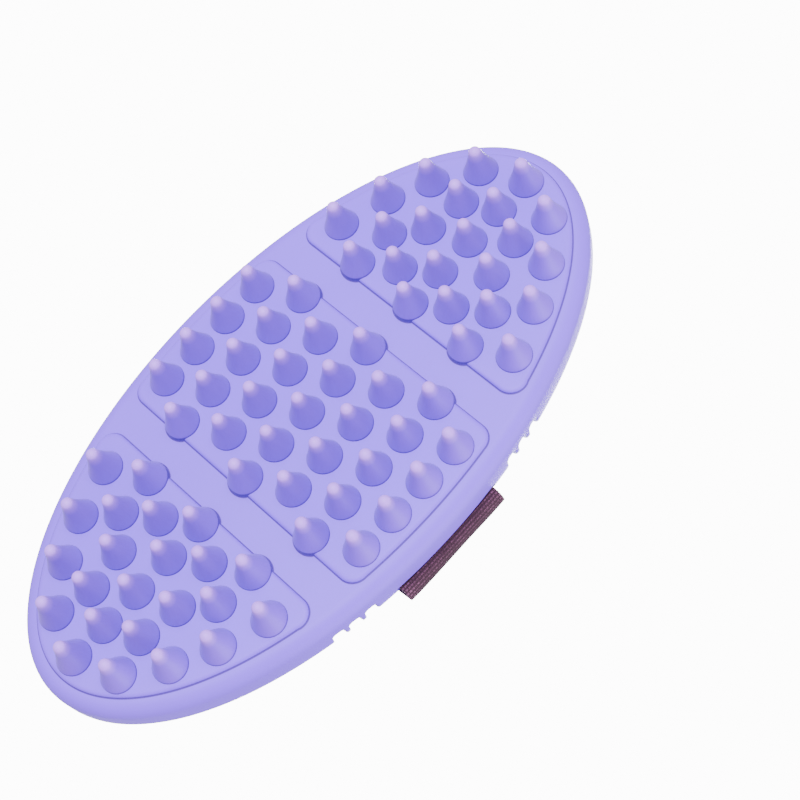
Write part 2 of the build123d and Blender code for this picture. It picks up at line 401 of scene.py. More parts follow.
def bulges(line, feet, foot_radius, facing):
    """Arcs round the feet that cross a line across the oval, in counter-clockwise order."""
    outward = math.cos(facing)
    points = []
    for foot in sorted(feet, key=lambda p: p.y * outward):
        inside = (line - foot.x) * outward
        if inside < foot_radius:
            half = math.acos(inside / foot_radius)
            points += arc_points(foot, foot_radius, facing - half, facing + half, 14)
    return points


def slice_outline(start, end, margin, radius, feet=(), foot_radius=0.0, steps=90, corner_steps=10):
    """The part of the drawn-in oval past start and, if given, before end, with rounded corners."""
    a, b = HALF_LENGTH - margin, HALF_WIDTH - margin
    near, first = [], 0.0
    if end is not None:
        centre, meeting = corner(end, -1, margin, radius)
        near = arc_points(centre, radius, 0, meeting, corner_steps)
        first = oval_angle(near[-1], margin)
    centre, meeting = corner(start, 1, margin, radius)
    far = arc_points(centre, radius, meeting, math.pi, corner_steps)
    last = oval_angle(far[0], margin)
    angles = [first + (last - first) * step / steps for step in range(1, steps)]
    sweep = [Vector((a * math.cos(t), b * math.sin(t))) for t in angles]
    upper = near + sweep + far
    lower = [Vector((p.x, -p.y)) for p in reversed(upper)]
    first_side = [Vector((a, 0))] if end is None else bulges(end, feet, foot_radius, 0)
    return first_side + upper + bulges(start, feet, foot_radius, math.pi) + lower


# Rubber moulding


def oval_slab(settings):
    """The slab before any cutting: an extruded oval with both long edges rounded."""
    work = bmesh.new()
    bmesh.ops.create_circle(work, cap_ends=True, segments=settings.outline_points, radius=1)
    bmesh.ops.scale(work, vec=(HALF_LENGTH, HALF_WIDTH, 1), verts=work.verts)
    bmesh.ops.translate(work, vec=(0, 0, FACE_LEVEL), verts=work.verts)
    raised = bmesh.ops.extrude_face_region(work, geom=work.faces[:])
    moved = [item for item in raised["geom"] if isinstance(item, bmesh.types.BMVert)]
    bmesh.ops.translate(work, verts=moved, vec=(0, 0, BACK_LEVEL - FACE_LEVEL))
    bmesh.ops.recalc_face_normals(work, faces=work.faces)
    round_edges(work, level_edges(work, BACK_LEVEL), settings.back_edge, settings.edge_steps)
    round_edges(work, level_edges(work, FACE_LEVEL), settings.face_edge, settings.edge_steps)
    return finish_piece("slab", work)


def groove_tool(settings, start):
    """A cutter for one groove, with a rounded floor."""
    reach = HALF_WIDTH * PAST_SIDE
    floor = FACE_LEVEL + settings.flex_web
    work = box_work((start, -reach, floor), (start + settings.groove_width, reach, BACK_LEVEL * PAST_BACK))
    long_edges = [edge for edge in level_edges(work, floor) if edge.calc_length() > settings.groove_width * 2]
    round_edges(work, long_edges, settings.groove_floor, 5)
    return finish_piece("groove", work)


def recess_tool(node, outline, play=0.05 * MM):
    """A cutter that sinks an outline to just under a back panel's plate."""
    return finish_piece("recess", raise_prism(outline, panel_floor(node) - play, BACK_LEVEL * PAST_BACK))


def end_recess(settings):
    """A cutter for the front panel's D-shaped recess."""
    node, gap = "front_back_panel", settings.panel_gap
    margin = HALF_LENGTH - high(node).x
    return recess_tool(node, slice_outline(low(node).x - gap, None, margin - gap, settings.end_panel_corner))


def centre_recess(settings):
    """A cutter for the centre panel's recess."""
    node, gap = "centre_back_panel", settings.panel_gap
    radius = settings.centre_panel_corner + gap
    return recess_tool(node, rounded_rectangle(high(node).x + gap, high(node).y + gap, radius))


def slot_tool(settings):
    """A cutter for the two side slots that the strap leaves by."""
    half = Vector((high("top_strap").x + settings.slot_play, HALF_WIDTH * PAST_SIDE, settings.slot / 2))
    middle = Vector((0, 0, strap_level()))
    return finish_piece("slot", box_work(middle - half, middle + half))


def rounded_rectangle(half_x, half_y, radius, steps=8):
    """Outline of a rectangle with rounded corners, counter-clockwise."""
    centres = ((1, 1), (-1, 1), (-1, -1), (1, -1))
    points = []
    for number, (sx, sy) in enumerate(centres):
        centre = Vector((sx * (half_x - radius), sy * (half_y - radius)))
        points += arc_points(centre, radius, number * QUARTER, (number + 1) * QUARTER, steps)
    return points


def width_of(node):
    """A strap's width along the brush."""
    return high(node).x - low(node).x


def panel_floor(node):
    """Height of the underside of a panel's plate, above any studs."""
    rim = 0.95 * high(node).y
    return min(vert.co.z for vert in frame["nodes"][node].data.vertices if abs(vert.co.y) > rim)


class BRUSH_OT_rubber_body(bpy.types.Operator):
    """Model the rubber slab in two halves, with lines at the flex zones to bend along"""

    bl_idname = "brush.rubber_body"
    bl_label = "Rubber Body"

    def execute(self, context):
        settings = context.scene.brush_rubber
        slab = oval_slab(settings)
        ridge = (FLEX_END - FLEX_START - settings.grooves * settings.groove_width) / (settings.grooves - 1)
        for number in range(settings.grooves):
            cut(slab, groove_tool(settings, FLEX_START + number * (settings.groove_width + ridge)))
        cut(slab, slot_tool(settings))
        soften_lips(slab, settings.lip)
        cut(slab, end_recess(settings))
        cut(slab, centre_recess(settings))
        work = half_of(slab, settings)
        opposite = work.copy()
        bmesh.ops.scale(opposite, vec=(-1, 1, 1), verts=opposite.verts)
        bmesh.ops.reverse_faces(opposite, faces=opposite.faces)
        material = rubber_material(context.scene.brush_finish)
        for half, end, sign in ((work, "front", 1), (opposite, "rear", -1)):
            piece = finish_piece(f"{end}_rubber_skin", half, material)
            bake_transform(piece)
            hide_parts(f"{end}_rubber_body", f"{end}_flex_bellows", "centre_rubber_body")
        return {"FINISHED"}


def soften_lips(slab, radius):
    """Rounds every sharp edge that the grooves and slots left above the face."""
    work = as_work(slab)
    clean(work)
    round_edges(work, sharp_edges(work, FACE_LEVEL + 4 * MM), radius, 3)
    clean(work)
    bmesh.ops.recalc_face_normals(work, faces=work.faces)
    work.to_mesh(slab.data)
    work.free()


def half_of(slab, settings):
    """The slab past its middle, closed there, with softened recess rims and lines to bend along."""
    work = as_work(slab)
    discard(slab)
    clean(work)
    bmesh.ops.bisect_plane(
        work, geom=whole(work), dist=LEVEL / 10, plane_co=(0, 0, 0), plane_no=(1, 0, 0), clear_inner=True
    )
    bmesh.ops.holes_fill(work, edges=[edge for edge in work.edges if edge.is_boundary], sides=0)
    round_edges(work, sharp_edges(work, BACK_LEVEL - 0.05 * MM, 0.1 * MM), settings.panel_lip, 2)
    clean(work)
    for number in range(settings.bend_lines + 1):
        x = FLEX_START + (FLEX_END - FLEX_START) * number / settings.bend_lines
        bmesh.ops.bisect_plane(work, geom=whole(work), dist=LEVEL, plane_co=(x, 0, 0), plane_no=(1, 0, 0))
    bmesh.ops.recalc_face_normals(work, faces=work.faces)
    return work


# Pads and cones


def islands(node):
    """The separate solids of a CAD node, each as a list of its points."""
    work = as_work(frame["nodes"][node])
    bmesh.ops.remove_doubles(work, verts=work.verts, dist=0.001 * MM)
    seen, found = set(), []
    for start in work.verts:
        if start in seen:
            continue
        island, pending = [], [start]
        seen.add(start)
        while pending:
            vert = pending.pop()
            island.append(vert.co.copy())
            fresh = [other for edge in vert.link_edges if (other := edge.other_vert(vert)) not in seen]
            seen.update(fresh)
            pending += fresh
        found.append(island)
    work.free()
    return found


def cone_places(node):
    """Where the cones of a CAD node stand: the middle of each."""
    places = []
    for island in islands(node):
        xs = [co.x for co in island]
        ys = [co.y for co in island]
        places.append(Vector(((min(xs) + max(xs)) / 2, (min(ys) + max(ys)) / 2)))
    return places


def offset_outline(points, distance):
    """A closed counter-clockwise outline moved out by a distance, or in if it is negative."""
    moved = []
    for before, here, after in zip(points[-1:] + points[:-1], points, points[1:] + points[:1]):
        heading = (after - before).normalized()
        moved.append(here + Vector((heading.y, -heading.x)) * distance)
    return moved


def pad_rings(settings, steps=4):
    """Offset and height of each ring of a pad's wall, from the rounded shoulder to the filleted foot."""
    reach, drop, foot = settings.pad_shoulder, settings.pad_edge, settings.pad_foot
    angles = [QUARTER * step / steps for step in range(steps + 1)]
    shoulder = [(reach * (math.sin(t) - 1), PAD_LEVEL + drop * (1 - math.cos(t))) for t in angles]
    fillet = [(foot * (1 - math.cos(t)), FACE_LEVEL - foot * (1 - math.sin(t))) for t in angles]
    return shoulder + fillet + [(foot, FACE_LEVEL + 0.4 * MM)]


def pad_piece(name, points, settings, material):
    """A raised pad with a rounded shoulder and a small fillet where it meets the slab."""
    work = bmesh.new()
    rings = []
    for distance, height in pad_rings(settings):
        rings.append(ring(work, [(p.x, p.y, height) for p in offset_outline(points, distance)]))
    skin_over(work, rings)
    return finish_piece(name, work, material)


class BRUSH_OT_pads(bpy.types.Operator):
    """Model the three raised pads of the cone side"""

    bl_idname = "brush.pads"
    bl_label = "Pads"

    def execute(self, context):
        settings = context.scene.brush_rubber
        foot = context.scene.brush_cone.foot
        material = pad_material(context.scene.brush_finish)
        reach = settings.centre_pad_reach
        outline = slice_outline(-reach, reach, settings.pad_margin, settings.pad_corner,
                                cone_places("centre_cones"), foot)
        centre = pad_piece("centre_pad", outline, settings, material)
        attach(centre, "centre")
        outline = slice_outline(settings.end_pad_start, None, settings.pad_margin, settings.pad_corner,
                                cone_places("front_cones"), foot)
        for end, sign in (("front", 1), ("rear", -1)):
            points = [Vector((sign * p.x, p.y)) for p in outline][::sign]
            pad = pad_piece(f"{end}_pad", points, settings, material)
            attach(pad, f"{end}_end")
        return {"FINISHED"}


def cone_profile(settings):
    """Half outline of a cone from its tip to just inside the pad."""
    rise = PAD_LEVEL - settings.tip
    lean = math.atan2(settings.foot - settings.tip, rise)
    points = arc_points(Vector((0, settings.tip)), settings.tip, -QUARTER, -lean, 8)
    points[0].x = 0
    start, foot = points[-1].copy(), Vector((settings.foot, PAD_LEVEL))
    flank_steps = 14
    for step in range(1, flank_steps + 1):
        share = step / flank_steps
        place = start.lerp(foot, share)
        place.x -= settings.hollow * math.sin(math.pi * share) * (1.2 - 0.4 * share)
        points.append(place)
    points.append(Vector((settings.foot, PAD_LEVEL + 0.6 * MM)))
    return points


def cone_work(settings):
    """One cone, point down, turned from its half outline."""
    work = bmesh.new()
    verts = [work.verts.new((p.x, 0, p.y)) for p in cone_profile(settings)]
    edges = [work.edges.new(pair) for pair in zip(verts, verts[1:])]
    bmesh.ops.spin(work, geom=verts + edges, cent=(0, 0, 0), axis=(0, 0, 1), angle=math.tau,
                   steps=settings.steps, use_merge=True)
    bmesh.ops.remove_doubles(work, verts=work.verts, dist=0.001 * MM)
    open_ring = [edge for edge in work.edges if edge.is_boundary]
    bmesh.ops.holes_fill(work, edges=open_ring, sides=0)
    bmesh.ops.recalc_face_normals(work, faces=work.faces)
    return work


CONE_GROUPS = {"centre_cones": "centre", "front_cones": "front_end", "rear_cones": "rear_end"}


class BRUSH_OT_cones(bpy.types.Operator):
    """Model the cones of each pad"""

    bl_idname = "brush.cones"
    bl_label = "Cones"

    def execute(self, context):
        settings = context.scene.brush_cone
        material = cone_material(context.scene.brush_finish)
        for node, body in CONE_GROUPS.items():
            group = bmesh.new()
            strew(group, cone_work(settings), [Matrix.Translation(p.to_3d()) for p in cone_places(node)])
            piece = finish_piece(f"{node}_rubber", group, material, math.radians(50))
            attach(piece, body)
            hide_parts(node)
        return {"FINISHED"}


class BRUSH_OT_back_panels(bpy.types.Operator):
    """Give the three back panels their plastic"""

    bl_idname = "brush.back_panels"
    bl_label = "Back Panels"

    def execute(self, context):
        material = panel_material(context.scene.brush_finish)
        for node in ("centre_back_panel", "front_back_panel", "rear_back_panel"):
            panel = frame["nodes"][node]
            panel.data.materials.clear()
            panel.data.materials.append(material)
        return {"FINISHED"}


# The strap's path in the YZ plane


def strap_level():
    """Middle height of both bands in the side slots."""
    return low("loop_strap_tail").z + bpy.context.scene.brush_webbing.loop_thickness / 2


def fold_radius():
    """Radius of both folds' middle line, round their hinges."""
    return hinge("loop_strap_lift").y - strap_level()


def arch():
    """Centre and radius of the arch that the loop webbing follows."""
    crest = high("loop_strap").z - bpy.context.scene.brush_webbing.loop_thickness / 2
    rise = crest - strap_level()
    radius = fold_radius()
    fold_y = abs(hinge("loop_strap_lift").x)
    large = (fold_y**2 + (rise - radius) ** 2 - radius**2) / (2 * (rise - 2 * radius))
    return Vector((0, crest - large)), large


def top_arch_radius():
    """Radius of the coarse webbing's middle line where it lies over the loop webbing."""
    centre, _ = arch()
    return high("top_strap").z - bpy.context.scene.brush_webbing.thickness / 2 - centre.y


def angle_at(radius, y):
    """Angle of the upper point, at y, of a circle round the arch's centre."""
    return math.acos(y / radius)


def direction_angle(vector):
    return math.atan2(vector.y, vector.x)


def walk(centre, radius, start, end, step=0.15 * MM):
    """Points along an arc, close enough together for a smooth band."""
    steps = max(2, round(abs(end - start) * radius / step))
    return arc_points(centre, radius, start, end, steps)


def loop_path():
    """The loop webbing's middle line, from the tunnel round the fold to its free end."""
    settings = bpy.context.scene.brush_webbing
    hub = hinge("loop_strap_lift")
    centre, radius = arch()
    meeting = direction_angle(hub - centre)
    inner = Vector((settings.splice, strap_level()))
    fold = walk(hub, fold_radius(), -QUARTER, meeting - math.tau)
    over = walk(centre, radius, meeting, angle_at(radius, high("loop_strap").y))
    return [inner] + fold + over[1:]


def descent():
    """Centre and radius of the arc that brings the coarse webbing down to its fold, and where it starts."""
    centre, _ = arch()
    radius = top_arch_radius()
    start_angle = angle_at(radius, high("loop_strap").y)
    start = centre + Vector((math.cos(start_angle), math.sin(start_angle))) * radius
    outward = (start - centre).normalized()
    reach = start - hinge("top_strap_peel")
    fold = fold_radius()
    large = (reach.dot(reach) - fold**2) / (2 * (reach.dot(outward) - fold))
    return start - outward * large, large, start_angle


def top_path():
    """The coarse webbing's middle line, from the tunnel round the fold to its heat-cut end."""
    settings = bpy.context.scene.brush_webbing
    hub = hinge("top_strap_peel")
    lower_centre, lower_radius, joint_angle = descent()
    centre, _ = arch()
    radius = top_arch_radius()
    meeting = direction_angle(hub - lower_centre)
    inner = Vector((settings.splice + settings.ramp, strap_level()))
    fold = walk(hub, fold_radius(), -QUARTER, meeting)
    down = walk(lower_centre, lower_radius, meeting, joint_angle)
    over = walk(centre, radius, joint_angle, angle_at(radius, free_end()))
    return [inner] + fold + down[1:] + over[1:]


def free_end():
    """Where the middle line of the coarse webbing ends, given that the cut is square to it."""
    centre, _ = arch()
    outer = top_arch_radius() + bpy.context.scene.brush_webbing.thickness / 2
    return low("top_strap").y * top_arch_radius() / outer


def along(points):
    """Lengths from the start of a line to each of its points."""
    lengths = [0.0]
    for a, b in zip(points, points[1:]):
        lengths.append(lengths[-1] + (b - a).length)
    return lengths


def place_on(points, lengths, distance, cursor):
    """The point at a distance along a line, its direction, and the span it was found in."""
    while cursor < len(lengths) - 2 and lengths[cursor + 1] < distance:
        cursor += 1
    span = max(lengths[cursor + 1] - lengths[cursor], 1e-9)
    share = (distance - lengths[cursor]) / span
    here = points[cursor].lerp(points[cursor + 1], share)
    before = points[max(cursor - 1, 0)]
    after = points[min(cursor + 2, len(points) - 1)]
    return here, (after - before).normalized(), cursor


def rib_shape(across, distance, width, rib, rib_height):
    """How far a rib stands out of the band's middle there, and where its thread turns at the selvedge."""
    edge_share = abs(across) / (width / 2)
    out = rib_height * (0.5 - 0.5 * math.cos(math.tau * distance / rib)) - rib_height / 2
    turn = SELVEDGE * math.sin(math.pi * distance / rib) if edge_share > 0.999 else 0.0
    return out * (1 - edge_share**6), across + math.copysign(turn, across)


def band(name, points, width, thickness, rib, rib_height, material, waviness=0.0, columns=36):
    """A ribbed band of webbing laid along a line, with its weave in its UV map and its ribs in its shape."""
    lengths = along(points)
    total = lengths[-1]
    rows = max(8, round(total / (rib / 4)))
    work = bmesh.new()
    bmesh.ops.create_grid(work, x_segments=columns, y_segments=rows, size=0.5, calc_uvs=False)
    layer = work.loops.layers.uv.new("weave")
    ordered = sorted(work.verts, key=lambda v: (round(v.co.y, 7), v.co.x))
    flat = {}
    cursor = 0
    for vert in ordered:
        across, distance = vert.co.x * width, (vert.co.y + 0.5) * total
        flat[vert] = (across / UV_SPAN + 0.5, distance / UV_SPAN)
        here, heading, cursor = place_on(points, lengths, distance, cursor)
        out, x = rib_shape(across, distance, width, rib, rib_height)
        out += waviness * noise.noise(Vector((across * 90, distance * 60, 3.1)))
        place = here + Vector((-heading.y, heading.x)) * out
        vert.co = Vector((x, place.x, place.y))
    for face in work.faces:
        for loop in face.loops:
            loop[layer].uv = flat[loop.vert]
    bmesh.ops.recalc_face_normals(work, faces=work.faces)
    piece = finish_piece(name, work, material, BAND_SHARP)
    wall = piece.modifiers.new("wall", "SOLIDIFY")
    wall.thickness = thickness
    wall.offset = 0.0
    wall.use_even_offset = False
    apply_modifiers(piece)
    shade(piece.data, BAND_SHARP)
    return piece


class BRUSH_OT_loop_webbing(bpy.types.Operator):
    """Model the loop-faced webbing under the strap"""

    bl_idname = "brush.loop_webbing"
    bl_label = "Loop Webbing"

    def execute(self, context):
        settings = context.scene.brush_webbing
        rib, rib_height = settings.loop_rib, settings.loop_rib_height
        material = webbing_material("fine_weave", context.scene.brush_finish.loop, rib, 0.6 * MM)
        width, wall = width_of("loop_strap"), settings.loop_thickness - rib_height
        piece = band("loop_webbing_band", loop_path(), width, wall, rib, rib_height, material, WAVINESS, 30)
        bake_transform(piece)
        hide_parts("loop_strap", "loop_strap_tail")
        return {"FINISHED"}


class BRUSH_OT_top_webbing(bpy.types.Operator):
    """Model the coarse webbing on top of the strap"""

    bl_idname = "brush.top_webbing"
    bl_label = "Top Webbing"

    def execute(self, context):
        settings = context.scene.brush_webbing
        path, finish = top_path(), context.scene.brush_finish
        rib, rib_height = settings.rib, settings.rib_height
        cut_end = (along(path)[-1], finish.thread)
        material = webbing_material("coarse_weave", finish.webbing, rib, 0.8 * MM, cut_end)
        width, wall = width_of("top_strap"), settings.thickness - rib_height
        piece = band("top_webbing_band", path, width, wall, rib, rib_height, material, WAVINESS)
        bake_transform(piece)
        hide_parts("top_strap", "top_strap_tail")
        return {"FINISHED"}


def arch_place(y, radius):
    """A place on a circle round the arch's centre, with its outward direction, in the YZ plane."""
    centre, _ = arch()
    outward = Vector((y, math.sqrt(radius**2 - y**2))) / radius
    return centre + outward * radius, outward


def hook_work():
    """One bent hook, standing up from the origin."""
    places = ((0, 0), (0.02, 0.3), (0.12, 0.55), (0.32, 0.62), (0.45, 0.48))
    return tube_work([Vector((x * MM, 0, z * MM)) for x, z in places], 0.09 * MM, 5)


def tube_work(points, radius, sides):
    """A round thread along a line of points in the XZ plane, closed at both ends."""
    work = bmesh.new()
    rings = []
    for number, point in enumerate(points):
        ahead = points[min(number + 1, len(points) - 1)] - points[max(number - 1, 0)]
        across = Vector((0, 1, 0))
        up = ahead.cross(across).normalized()
        size = radius * (0.6 if number in (0, len(points) - 1) else 1)
        turns = [math.tau * side / sides for side in range(sides)]
        rings.append(ring(work, [point + (across * math.cos(t) + up * math.sin(t)) * size for t in turns]))
    skin_over(work, rings)
    return work


# Share of the hook tape's reach that its middle line keeps, because its ends are cut square
HOOK_TAPE_SHARE = 0.995


class BRUSH_OT_hook_tape(bpy.types.Operator):
    """Model the hook tape under the strap's end, with its hooks"""

    bl_idname = "brush.hook_tape"
    bl_label = "Hook Tape"

    def execute(self, context):
        settings = context.scene.brush_webbing
        lowest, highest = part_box("hook_patch")
        under = top_arch_radius() - settings.thickness / 2
        base = settings.hook_base
        centre, _ = arch()
        start, end = (angle_at(under, y * HOOK_TAPE_SHARE) for y in (highest.y, lowest.y))
        path = walk(centre, under - base / 2, start, end)
        material = thread_material("hook_surface", context.scene.brush_finish.thread)
        width, rib = width_of("hook_patch"), settings.rib
        tape = band("hook_tape", path, width, base, rib, 0.02 * MM, material, columns=12)
        work = as_work(tape)
        discard(tape)
        strew(work, hook_work(), hook_placings(settings.hook_pitch, lowest, highest, under - base))
        piece = finish_piece("hook_tape", work, material)
        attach(piece, "top_strap")
        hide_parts("hook_patch")
        return {"FINISHED"}


def placing(x, place, ahead, up):
    """Turns and moves a small piece so that its X and Z point ahead and up at a place on the strap."""
    turn = Matrix((ahead, up.cross(ahead), up)).transposed().to_4x4()
    return Matrix.Translation((x, place.x, place.y)) @ turn


def hook_placings(pitch, lowest, highest, radius):
    """Where each hook stands: in staggered rows that face alternate sides, pointing down from the tape."""
    rows = int((highest.y - lowest.y) / pitch) - 1
    columns = int((highest.x - lowest.x) / pitch) - 1
    placings = []
    for row in range(rows):
        odd = row % 2
        place, outward = arch_place(lowest.y + (row + 1) * pitch, radius)
        down = Vector((0, -outward.x, -outward.y))
        side = Vector((1 if odd else -1, 0, 0))
        for column in range(columns):
            x = lowest.x + (column + 0.8 + 0.4 * odd) * pitch
            placings.append(placing(x, place, side, down))
    return placings


def stitch_places(node):
    """Each CAD stitch's middle, its length, and whether it runs along the strap."""
    places = []
    for island in islands(node):
        spans = [max(co[axis] for co in island) - min(co[axis] for co in island) for axis in (0, 1)]
        middle = [(max(co[axis] for co in island) + min(co[axis] for co in island)) / 2 for axis in (0, 1)]
        places.append((middle[0], middle[1], max(spans), spans[1] > spans[0]))
    return places


def stitch_work(length, thread):
    """One stitch along X: a thread that rises out of the webbing, lies on it and dives back in."""
    steps = 10
    points = []
    for step in range(steps + 1):
        share = step / steps
        rise = math.sin(math.pi * share) ** 0.5
        points.append(Vector(((share - 0.5) * length, 0, thread * (0.85 * rise - 0.6))))
    return tube_work(points, thread / 2, 8)


class BRUSH_OT_stitching(bpy.types.Operator):
    """Model the seams' thread"""

    bl_idname = "brush.stitching"
    bl_label = "Stitching"

    def execute(self, context):
        thread = context.scene.brush_webbing.thread
        material = thread_material("sewing_thread", context.scene.brush_finish.thread)
        surface = top_arch_radius() + context.scene.brush_webbing.thickness / 2
        for node in ("end_stitching", "patch_stitching"):
            work = bmesh.new()
            for x, y, length, along_strap in stitch_places(node):
                place, outward = arch_place(y, surface)
                up = Vector((0, outward.x, outward.y))
                ahead = Vector((0, outward.y, -outward.x)) if along_strap else Vector((1, 0, 0))
                strew(work, stitch_work(length * 1.12, thread), [placing(x, place, ahead, up)])
            piece = finish_piece(f"{node}_thread", work, material)
            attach(piece, "top_strap")
            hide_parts(node)
        return {"FINISHED"}


# Materials


def new_material(name):
    material = bpy.data.materials.new(name)
    material.use_nodes = True
    return material, material.node_tree


def set_inputs(node, **values):
    """Sets a node's inputs by their names, with _ for each space."""
    for name, value in values.items():
        node.inputs[name.replace("_", " ")].default_value = value


def add(tree, kind, **values):
    """Adds a node and sets its inputs."""
    node = tree.nodes.new(kind)
    set_inputs(node, **values)
    return node


def mixed(tree, factor, low_colour, high_colour):
    """A colour mix whose ends are colours or sockets."""
    mix = tree.nodes.new("ShaderNodeMix")
    mix.data_type = "RGBA"
    tree.links.new(factor, mix.inputs["Factor"])
    colours = [socket for socket in mix.inputs if socket.type == "RGBA"]
    for target, value in zip(colours, (low_colour, high_colour)):
        if isinstance(value, bpy.types.NodeSocket):
            tree.links.new(value, target)
        else:
            target.default_value = value
    return next(socket for socket in mix.outputs if socket.type == "RGBA")


def tint(colour, factor):
    """A colour made darker or lighter by a factor."""
    return tuple(min(1.0, channel * factor) for channel in colour[:3]) + (1.0,)


def rubber_shader(tree):
    """Matt rubber with a soft sheen."""
    shader = tree.nodes["Principled BSDF"]
    set_inputs(shader, Roughness=0.5, Specular_IOR_Level=0.2, Sheen_Weight=0.05, Sheen_Roughness=0.4)
    return shader


def moulded_bump(tree, shader, grain, strength):
    """The fine matt grain of a moulded surface."""
    coords = add(tree, "ShaderNodeTexCoord")
    fine = add(tree, "ShaderNodeTexNoise", Scale=grain, Detail=3.0)
    bump = add(tree, "ShaderNodeBump", Strength=strength, Distance=0.0001)
    tree.links.new(coords.outputs["Object"], fine.inputs["Vector"])
    tree.links.new(fine.outputs["Fac"], bump.inputs["Height"])
    tree.links.new(bump.outputs["Normal"], shader.inputs["Normal"])
    return coords


def ramp(tree, factor, stops):
    """A ramp through the stated places and grey values."""
    node = tree.nodes.new("ShaderNodeValToRGB")
    elements = node.color_ramp.elements
    elements[0].position, elements[1].position = stops[0][0], stops[-1][0]
    for place, value in stops[1:-1]:
        elements.new(place)
    for element, (place, value) in zip(elements, stops):
        element.color = (value, value, value, 1)
    tree.links.new(factor, node.inputs["Fac"])
    return node.outputs["Color"]


def cloudy_rubber(tree, shader, coords, finish):
    """Faint cloudiness in the rubber's colour and gloss."""
    clouds = add(tree, "ShaderNodeTexNoise", Scale=38.0, Detail=3.0)
    tree.links.new(coords.outputs["Object"], clouds.inputs["Vector"])
    share = ramp(tree, clouds.outputs["Fac"], [(0.3, 0.0), (0.7, 1.0)])
    rough = ramp(tree, clouds.outputs["Fac"], [(0.2, 0.46), (0.8, 0.56)])
    tree.links.new(rough, shader.inputs["Roughness"])
    return mixed(tree, share, tint(finish.rubber, 0.965), tint(finish.rubber, 1.03))


def share_of(tree, vector, axis, start, end):
    """How far a vector's part along one axis has got from start to end, from 0 to 1."""
    split = tree.nodes.new("ShaderNodeSeparateXYZ")
    tree.links.new(vector, split.inputs["Vector"])
    share = add(tree, "ShaderNodeMapRange", From_Min=start, From_Max=end)
    tree.links.new(split.outputs[axis], share.inputs["Value"])
    return share.outputs["Result"]


def height_over(tree, coords, bottom, top):
    """How far a surface point is up between two levels, from 0 to 1."""
    return share_of(tree, coords.outputs["Object"], "Z", bottom, top)


def rubber_material(finish):
    """Soft lavender rubber."""
    material, tree = new_material("moulded_rubber")
    shader = rubber_shader(tree)
    coords = moulded_bump(tree, shader, 2600.0, 0.25)
    tree.links.new(cloudy_rubber(tree, shader, coords, finish), shader.inputs["Base Color"])
    return material


def pad_material(finish):
    """The pads' rubber, with painted shade in the crease round their foot."""
    material, tree = new_material("pad_surface")
    shader = rubber_shader(tree)
    coords = moulded_bump(tree, shader, 2600.0, 0.25)
    rubber = cloudy_rubber(tree, shader, coords, finish)
    # Painted shade: the pad's wall darkens towards its foot, where the crease's shade falls.
    share = ramp(tree, height_over(tree, coords, PAD_LEVEL, FACE_LEVEL), [(0.5, 0.0), (0.8, 1.0)])
    tree.links.new(mixed(tree, share, rubber, tint(finish.rubber, 0.42)), shader.inputs["Base Color"])
    return material


def cone_material(finish):
    """The cones' rubber, with painted shade and painted light: a little deeper on the sides and darker round
    the foot as shade, and paler at the tips, where light passes through.
    """
    material, tree = new_material("cone_surface")
    shader = rubber_shader(tree)
    coords = moulded_bump(tree, shader, 2600.0, 0.25)
    height = height_over(tree, coords, 0, PAD_LEVEL)
    # Painted light: paler towards the tips, for the light that passes through them.
    from_painted_tip_light = ramp(tree, height, [(0.06, 0.0), (0.17, 0.5), (0.34, 1.0)])
    # Painted shade: a dark band round each cone's foot, where the crease's shade falls.
    painted_crease_shade = ramp(tree, height, [(0.955, 0.0), (0.985, 1.0)])
    # The sides' colour is a little deeper than the rubber, as painted shade.
    side = mixed(tree, painted_crease_shade, finish.cone, tint(finish.rubber, 0.4))
    tree.links.new(mixed(tree, from_painted_tip_light, finish.tip, side), shader.inputs["Base Color"])
    return material


def panel_material(finish):
    """Smooth matt plastic with a very fine spark-eroded grain."""
    material, tree = new_material("panel_surface")
    shader = tree.nodes["Principled BSDF"]
    set_inputs(shader, Specular_IOR_Level=0.45)
    coords = moulded_bump(tree, shader, 4200.0, 0.15)
    clouds = add(tree, "ShaderNodeTexNoise", Scale=25.0, Detail=2.0)
    tree.links.new(coords.outputs["Object"], clouds.inputs["Vector"])
    share = ramp(tree, clouds.outputs["Fac"], [(0.3, 0.0), (0.7, 1.0)])
    colour = mixed(tree, share, tint(finish.panel, 0.98), tint(finish.panel, 1.02))
    tree.links.new(colour, shader.inputs["Base Color"])
    rough = ramp(tree, clouds.outputs["Fac"], [(0.2, 0.38), (0.8, 0.46)])
    tree.links.new(rough, shader.inputs["Roughness"])
    return material


def webbing_material(name, yarn, rib, float_width, cut_end=None):
    """Woven yarn: a row of floats on each rib, with painted shade in the gaps between them, and darker
    fibres.
    """
    material, tree = new_material(name)
    shader = tree.nodes["Principled BSDF"]
    set_inputs(shader, Roughness=0.85, Specular_IOR_Level=0.12, Sheen_Weight=0.04, Sheen_Roughness=0.5)
    coords = add(tree, "ShaderNodeTexCoord")
    scaled = add(tree, "ShaderNodeMapping", Scale=(UV_SPAN / MM, UV_SPAN / MM, 1))
    tree.links.new(coords.outputs["UV"], scaled.inputs["Vector"])
    bricks = weave_bricks(tree, yarn, rib, float_width)
    tree.links.new(scaled.outputs["Vector"], bricks.inputs["Vector"])
    fibres = add(tree, "ShaderNodeTexNoise", Scale=5.0, Detail=4.0)
    tree.links.new(scaled.outputs["Vector"], fibres.inputs["Vector"])
    share = ramp(tree, fibres.outputs["Fac"], [(0.35, 0.0), (0.6, 1.0)])
    colour = mixed(tree, share, tint(yarn, 0.55), bricks.outputs["Color"])
    if cut_end:
        colour = sealed_end(tree, scaled, colour, *cut_end)
    tree.links.new(colour, shader.inputs["Base Color"])
    bump = add(tree, "ShaderNodeBump", Strength=1.0, Distance=0.0002)
    bump.invert = True
    tree.links.new(bricks.outputs["Fac"], bump.inputs["Height"])
    tree.links.new(bump.outputs["Normal"], shader.inputs["Normal"])
    return material


